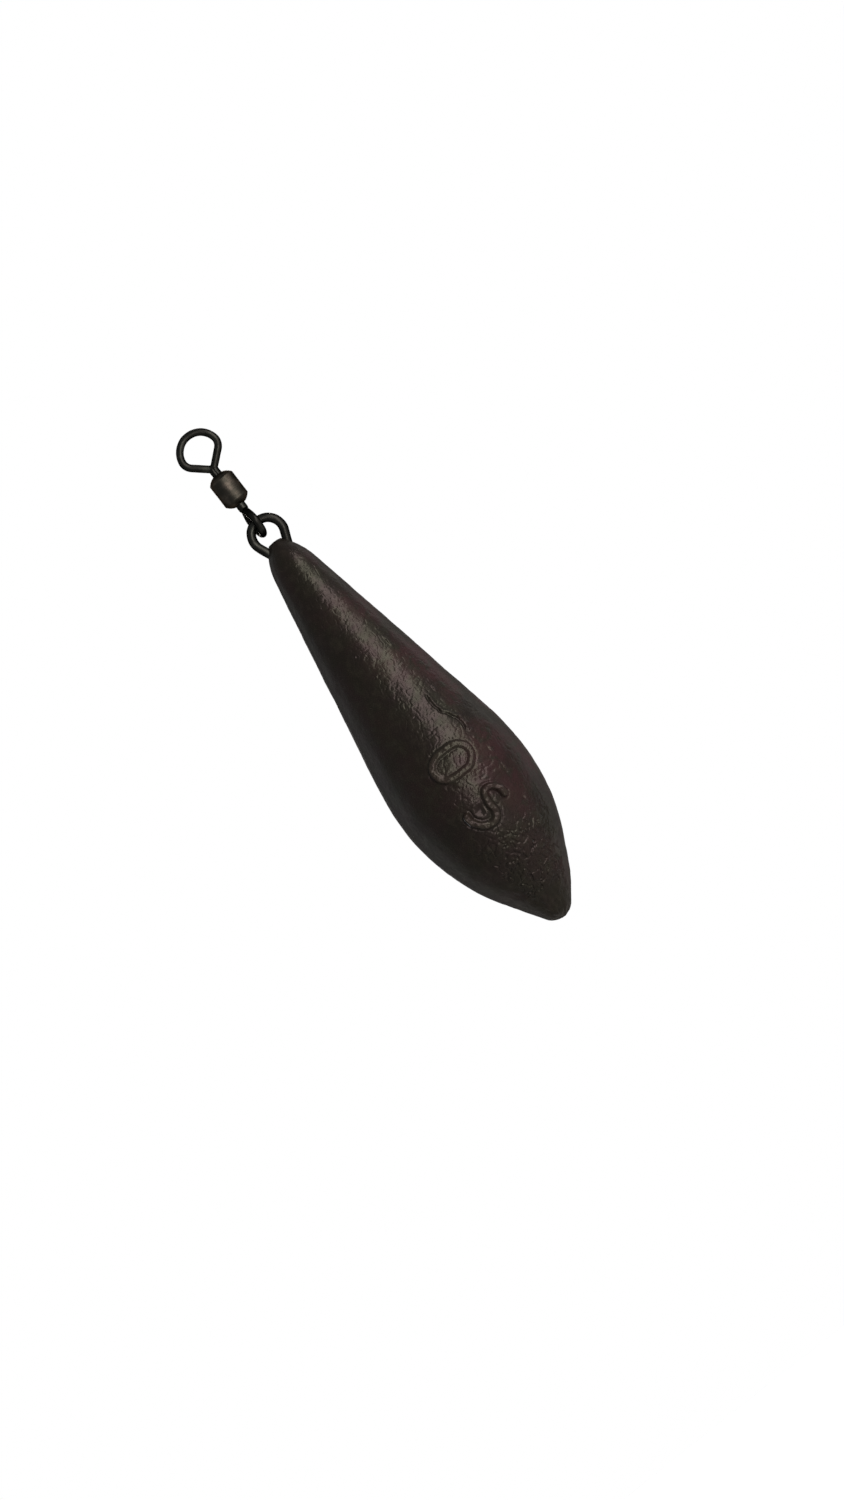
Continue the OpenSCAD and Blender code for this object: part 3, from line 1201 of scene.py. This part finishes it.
@dataclass(frozen=True)
class HangerLoop:
    """The wire that is cast into the lead: a loop above it, and two shanks with turned-out feet in it."""

    wire: float = 1.0
    loop_radius: float = 1.74
    loop_stand: float = 1.1
    leg_lean: float = 22.0
    shank_side: float = 0.72
    leg_bend: float = 1.0
    depth: float = 12.0
    foot_bend: float = 0.9
    foot_turn: float = 60.0
    foot_length: float = 0.8
    facets: int = 32

    def build(self, finish: Material, place: Matrix) -> None:
        """Bends the wire from one foot to the other.

        Args:
            finish: Its finish.
            place: From its own frame, whose origin is the loop's centre, to the CAD's.
        """
        lean, turn = math.radians(self.leg_lean), math.radians(self.foot_turn)
        shank_top_x = self.shank_side + self.leg_bend * (1 - math.cos(lean))
        leg = (self.loop_radius * math.cos(lean) - shank_top_x) / math.sin(lean)
        bend_y = -(self.loop_radius + self.leg_bend) * math.sin(lean) - leg * math.cos(lean)
        foot_y = self.foot_bend * math.sin(turn) - self.loop_stand - self.depth
        toe_x = self.shank_side + self.foot_bend * (1 - math.cos(turn)) + self.foot_length * math.sin(turn)
        toe_y = foot_y - self.foot_bend * math.sin(turn) - self.foot_length * math.cos(turn)
        toe = Vector((toe_x, toe_y, 0))
        wire = BentWire(toe, 90 + self.foot_turn, self.wire / 2, self.facets, capped=True)
        # Each stretch's length or radius, its turn, and its number of sections.
        side = [
            (self.foot_length, 0, 4),
            (self.foot_bend, -self.foot_turn, 10),
            (bend_y - foot_y, 0, 40),
            (self.leg_bend, -self.leg_lean, 6),
            (leg, 0, 8),
        ]
        wire.follow([*side, (self.loop_radius, 180 + 2 * self.leg_lean, 72), *reversed(side)])
        mesh = wire.finish(close_end=True)
        wobble(mesh, depth=0.035, size=1.1, offset=4.0)
        piece = to_object("hanger_wire", mesh)
        settle(piece, finish, "sinker", "hanger_loop", place @ UPRIGHT)


@dataclass
class Sinker:
    """The coated casting and the wire loop that is cast into it."""

    # How far its axis stands to the swivel's +X, and its loop's centre below the line eye's.
    axis_x: float = 0.4
    loop_drop: float = 10.973
    casting: Casting = field(default_factory=Casting)
    hanger: HangerLoop = HangerLoop()

    def build(self, coating: Material, lead: Material, steel: Material) -> None:
        """Builds the casting and its loop.

        Args:
            coating: The finish of the casting's skin.
            lead: The finish of the lead under it.
            steel: The finish of the loop.
        """
        nose_z = -self.loop_drop - self.hanger.loop_stand - self.casting.length
        self.casting.build(coating, lead, Matrix.Translation((self.axis_x, 0, nose_z)))
        self.hanger.build(steel, Matrix.Translation((self.axis_x, 0, -self.loop_drop)))


@dataclass(frozen=True)
class SwivelEye:
    """One eye of the swivel: a wire ring on a neck, with the stem and head that the barrel holds."""

    name: str
    body: str
    ring_radius: float
    corner_radius: float
    crotch: float
    neck: float
    wire: float = 0.78
    stem: float = 1.05
    slope: float = 41.0
    crotch_bend: float = 0.5
    stem_drop: float = 0.1
    seam_depth: float = 0.08
    seam_half: float = 0.15
    # How far the joined skin is brought out again, because smoothing draws it in.
    melt_back: float = 0.02
    play: float = 0.05
    head: float = 1.1
    head_radius: float = 0.935
    chamfer: float = 0.2
    head_spacing: float = 0.2
    stem_spacing: float = 0.05
    stem_steps: int = 72
    facets: int = 36
    voxel: float = 0.042

    def ring(self) -> BMesh:
        """Bends the ring and its legs as one closed wire in the XY plane.

        Returns:
            The wire's mesh.
        """
        slope = math.radians(self.slope)
        across = Vector((math.sin(slope), -math.cos(slope), 0))
        along = Vector((math.cos(slope), math.sin(slope), 0))
        reach = self.crotch * math.cos(slope) + self.wire / 2
        rise = math.sqrt((self.ring_radius - self.corner_radius) ** 2 - (reach - self.corner_radius) ** 2)
        corner = across * (reach - self.corner_radius) + along * rise
        corner_turn = math.degrees(math.atan2(corner.y, corner.x))
        leg = rise + (reach - self.crotch_bend) * math.tan(slope)
        bend = self.crotch_bend
        bottom = (bend - self.wire / 2) / math.cos(slope) - self.crotch - bend
        wire = BentWire(Vector((0, bottom, 0)), 0, self.wire / 2, self.facets, capped=False)
        # Each stretch's length or radius, its turn, and its number of sections.
        side = [
            (bend, self.slope, 6),
            (leg, 0, 14),
            (self.corner_radius, corner_turn + 90 - self.slope, 18),
        ]
        wire.follow([*side, (self.ring_radius, 180 - 2 * corner_turn, 72), *reversed(side)])
        return wire.finish(close_end=False)

    def neck_and_head(self) -> BMesh:
        """Turns the stem below the ring, with the seam of the wire's two ends down its front and back.

        Returns:
            The mesh of the stem and its head, upright about the Z axis.
        """
        radius = self.stem / 2
        top = -self.crotch - self.stem_drop
        foot = -self.crotch - self.neck - END_THICKNESS - self.play
        shape = TurnedShape(0, foot - self.head)
        shape.lines(
            self.head_spacing,
            (self.head_radius - self.chamfer, foot - self.head),
            (self.head_radius, foot - self.head + self.chamfer),
            (self.head_radius, foot),
            (radius, foot),
        )
        shape.lines(self.stem_spacing, (radius, top - radius))
        shape.arc(0, top - radius, 90, self.stem_spacing)
        mesh = shape.turn(self.stem_steps)
        for vert in mesh.verts:
            if vert.co.z > foot + END_THICKNESS:
                vert.co.y *= 1 - (self.seam_depth / radius) * hill(vert.co.x, self.seam_half)
        return mesh

    def build(self, finish: Material, place: Matrix) -> None:
        """Bends, joins and finishes the eye.

        Args:
            finish: Its finish.
            place: From its own frame, whose origin is the ring's centre, to the CAD's.
        """
        ring = self.ring()
        ring.transform(UPRIGHT)
        bent = bpy.data.meshes.new("ring")
        ring.to_mesh(bent)
        ring.free()
        joined = self.neck_and_head()
        joined.from_mesh(bent)
        bpy.data.meshes.remove(bent)
        skin = fuse(joined, self.voxel, passes=3)
        skin.normal_update()
        for vert in skin.verts:
            vert.co += vert.normal * self.melt_back
        wobble(skin, depth=0.02, size=0.9, offset=self.crotch)
        piece = to_object(self.name + "_wire", skin)
        settle(piece, finish, self.body, self.name, place)


@dataclass(frozen=True)
class SwivelBarrel:
    """The hollow barrel that both stems turn in, with its ends rolled in to a mouth each."""

    diameter: float = 2.87
    length: float = 3.85
    wall: float = 0.4
    shoulder: float = 0.59
    mouth_radius: float = 0.585
    rim: float = 0.1
    lip: float = 0.07
    spacing: float = 0.05
    lip_spacing: float = 0.05 / 3
    steps: int = 128

    def build(self, finish: Material, place: Matrix) -> None:
        """Turns the barrel.

        Args:
            finish: Its finish.
            place: From its own frame, whose origin is its middle, to the CAD's.
        """
        radius, half = self.diameter / 2, self.length / 2
        rim_r, lip_r = self.mouth_radius + self.rim, self.mouth_radius + self.lip
        depth = (radius**2 - rim_r**2 + self.shoulder**2) / (2 * self.shoulder)
        from_turn = math.degrees(math.atan2(depth - self.shoulder, radius))
        to_turn = math.degrees(math.atan2(depth, rim_r))
        cavity_r, cavity_z = radius - self.wall, half - END_THICKNESS
        shape = TurnedShape(radius, self.shoulder - half)
        shape.lines(self.spacing, (radius, half - self.shoulder))
        shape.arc(0, half - depth, to_turn - from_turn, self.spacing)
        shape.lines(self.spacing, (lip_r, half))
        shape.arc(lip_r, half - self.lip, 90, self.lip_spacing)
        shape.lines(
            self.spacing,
            (self.mouth_radius, cavity_z),
            (cavity_r, cavity_z),
            (cavity_r, -cavity_z),
            (self.mouth_radius, -cavity_z),
            (self.mouth_radius, self.lip - half),
        )
        shape.arc(lip_r, self.lip - half, 90, self.lip_spacing)
        shape.lines(self.spacing, (rim_r, -half))
        shape.arc(0, depth - half, to_turn - from_turn, self.spacing)
        shape.close()
        mesh = shape.turn(self.steps)
        wobble(mesh, depth=0.012, size=0.9, offset=8.0)
        piece = to_object("barrel_shell", mesh)
        settle(piece, finish, "barrel", "swivel_barrel", place)


@dataclass(frozen=True)
class Swivel:
    """The rolling swivel: a barrel with an eye at each end, of which the line eye is the upper one."""

    line_eye: SwivelEye = SwivelEye(
        name="line_eye", body="line_eye", ring_radius=2.16, corner_radius=1.2, crotch=1.7, neck=1.2
    )
    link_eye: SwivelEye = SwivelEye(
        name="link_eye", body="link_eye", ring_radius=1.58, corner_radius=0.88, crotch=1.15, neck=1.14
    )
    barrel: SwivelBarrel = SwivelBarrel()
    # How far the link eye is turned round the axis from the line eye, in degrees.
    link_turn: float = 100.0

    def build(self, steel: Material, brass: Material) -> None:
        """Builds both eyes and the barrel between them.

        Args:
            steel: The finish of the eyes.
            brass: The finish of the barrel.
        """
        barrel_top = -self.line_eye.crotch - self.line_eye.neck
        barrel_foot = barrel_top - self.barrel.length
        link_z = barrel_foot - self.link_eye.neck - self.link_eye.crotch
        upside_down = Matrix.Rotation(math.pi, 4, "Y")
        turned = Matrix.Rotation(math.radians(self.link_turn), 4, "Z") @ upside_down
        self.line_eye.build(steel, Matrix.Identity(4))
        self.link_eye.build(steel, Matrix.Translation((0, 0, link_z)) @ turned)
        self.barrel.build(brass, Matrix.Translation((0, 0, (barrel_top + barrel_foot) / 2)))


@dataclass(frozen=True)
class Lamp:
    """A soft rectangular lamp that faces the sinker.

    Attributes:
        name: Its name.
        side: Its direction round the sinker in degrees, 0 at the camera and above 0 towards +X.
        rise: Its height above level, in degrees.
        away: Its distance.
        size: Its width and height.
        power: Its power in watts.
    """

    name: str
    side: float
    rise: float
    away: float
    size: Pair
    power: float


@dataclass
class Studio:
    """A pale floor well below the hanging sinker, plain soft light, and the photograph's camera."""

    # The height of the view at the sinker, the camera's distance from it, and the middle of the view.
    frame_height: float = 156.0
    distance: float = 600.0
    middle: Pair = (-0.65, -38.54)
    # How far the camera and the lamps lean, in degrees.
    roll: float = 37.66
    lamp_lean: float = 45.0
    sensor: float = 36.0
    floor_z: float = -150.0
    floor_radius: float = 300.0
    card: tuple[str, str] = ("#f1f1f0", "#f6f6f5")
    fibre_mm: float = 0.8
    lamp_colour: str = "#fff6ee"
    # The world's light on the sinker, and the floor's own light in what the camera and metals see.
    world_light: float = 0.07
    floor_glow: float = 0.32
    # A long key lamp that makes the stripe, its spill, a faint fill, a rim lamp, and one for the back.
    lamps: tuple[Lamp, ...] = (
        Lamp("key", 29, 13.5, 380, (130, 610), 4.6),
        Lamp("spill", 60, 12, 380, (200, 420), 0.42),
        Lamp("fill", -75, 35, 500, (300, 300), 0.04),
        Lamp("rim", 128, 20, 500, (200, 300), 0.15),
        Lamp("back", 180, 16, 450, (150, 300), 1.1),
    )

    def background_rays(self, tree: NodeTree) -> NodeSocket:
        """Tells what the camera sees, straight or in metal and glass, from light on the object.

        Args:
            tree: The node tree that gets the nodes.

        Returns:
            A socket that is 1 for what the camera sees and 0 for light on the object.
        """
        seen = 0.0
        for ray in ("Is Camera Ray", "Is Glossy Ray", "Is Transmission Ray"):
            passed = add_node(tree, "LightPath", output=ray)
            seen = add_node(tree, "Math", {0: seen, 1: passed}, operation="MAXIMUM")
        return seen

    def backdrop(self) -> None:
        """A world that is white to look at and lights the object softly."""
        world = bpy.data.worlds.new("studio")
        bpy.context.scene.world = world
        world.use_nodes = True
        tree = world.node_tree
        tree.nodes.clear()
        strength = add_node(
            tree, "MapRange", {"Value": self.background_rays(tree), "To Min": self.world_light}
        )
        shade = add_node(tree, "Background", {"Color": linear("#ffffff"), "Strength": strength})
        add_node(tree, "OutputWorld", {"Surface": shade})

    def floor(self) -> None:
        """A round pale floor, which keeps the object's soft shadow."""
        made, tree = empty_material("pale_card")
        where = add_node(tree, "TexCoord", output="Object")
        fibre = add_node(
            tree, "TexNoise", {"Vector": where, "Scale": per_metre(self.fibre_mm), "Detail": 3}
        )
        colours = {"Factor": fibre, 6: linear(self.card[0]), 7: linear(self.card[1])}
        card = add_node(
            tree,
            "BsdfPrincipled",
            {
                "Base Color": add_node(tree, "Mix", colours, 2, data_type="RGBA"),
                "Roughness": 0.9,
                "Emission Color": linear("#ffffff"),
                "Emission Strength": add_node(
                    tree, "MapRange", {"Value": self.background_rays(tree), "To Max": self.floor_glow}
                ),
            },
        )
        add_node(tree, "OutputMaterial", {"Surface": card})
        mesh = bmesh.new()
        bmesh.ops.create_circle(mesh, cap_ends=True, segments=96, radius=self.floor_radius)
        card_piece = to_object("floor", mesh)
        card_piece.data.transform(Matrix.Scale(MM, 4) @ Matrix.Translation((0, 0, self.floor_z)))
        card_piece.data.materials.append(made)

    def facing(self, towards: Vector, lean: float) -> Matrix:
        """Turns a camera or lamp.

        Args:
            towards: The direction that its back points in.
            lean: How far its top leans from +Z towards +X, in degrees.

        Returns:
            The rotation.
        """
        turn = math.radians(lean)
        right = Vector((math.sin(turn), 0, math.cos(turn))).cross(towards).normalized()
        return Matrix((right, towards.cross(right), towards)).transposed().to_4x4()

    def camera(self) -> None:
        """Looks level along +Y, rolled as the sinker lies across the photograph."""
        data = bpy.data.cameras.new("camera")
        data.sensor_fit = "VERTICAL"
        data.sensor_height = self.sensor
        data.lens = self.sensor * self.distance / self.frame_height
        data.clip_start = 0.01
        data.clip_end = 10
        camera = show("camera", data)
        x, z = self.middle
        view = self.facing(Vector((0, -1, 0)), self.roll)
        camera.matrix_world = Matrix.Translation(Vector((x, -self.distance, z)) * MM) @ view
        bpy.context.scene.camera = camera

    def hang(self, lamp: Lamp) -> None:
        """Hangs a lamp.

        Args:
            lamp: The lamp.
        """
        data = bpy.data.lights.new(lamp.name, "AREA")
        data.shape = "RECTANGLE"
        data.size, data.size_y = lamp.size[0] * MM, lamp.size[1] * MM
        data.energy = lamp.power
        data.color = linear(self.lamp_colour)[:3]
        hung = show(lamp.name, data)
        turn, lift = math.radians(lamp.side), math.radians(lamp.rise)
        level = math.cos(lift)
        towards = Vector((math.sin(turn) * level, -math.cos(turn) * level, math.sin(lift)))
        aim = Vector((self.middle[0], 0, self.middle[1])) * MM
        place = Matrix.Translation(aim + towards * (lamp.away * MM))
        hung.matrix_world = place @ self.facing(towards, self.lamp_lean)

    def build(self) -> None:
        """Sets the whole studio."""
        self.backdrop()
        self.floor()
        self.camera()
        for lamp in self.lamps:
            self.hang(lamp)
        bpy.context.scene.view_settings.view_transform = "Standard"
        LOG.info("studio: camera, floor and %d lamps", len(self.lamps))


def main() -> None:
    """Builds the studio and every piece in order."""
    logging.basicConfig(level=logging.INFO, format="%(name)s: %(message)s")
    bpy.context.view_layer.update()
    Studio().build()
    steel = BlackenedSteel().material()
    Sinker().build(BakedCoating().material(), CastLead().material(), steel)
    Swivel().build(steel, BronzedBrass().material())


if __name__ == "__main__":
    main()
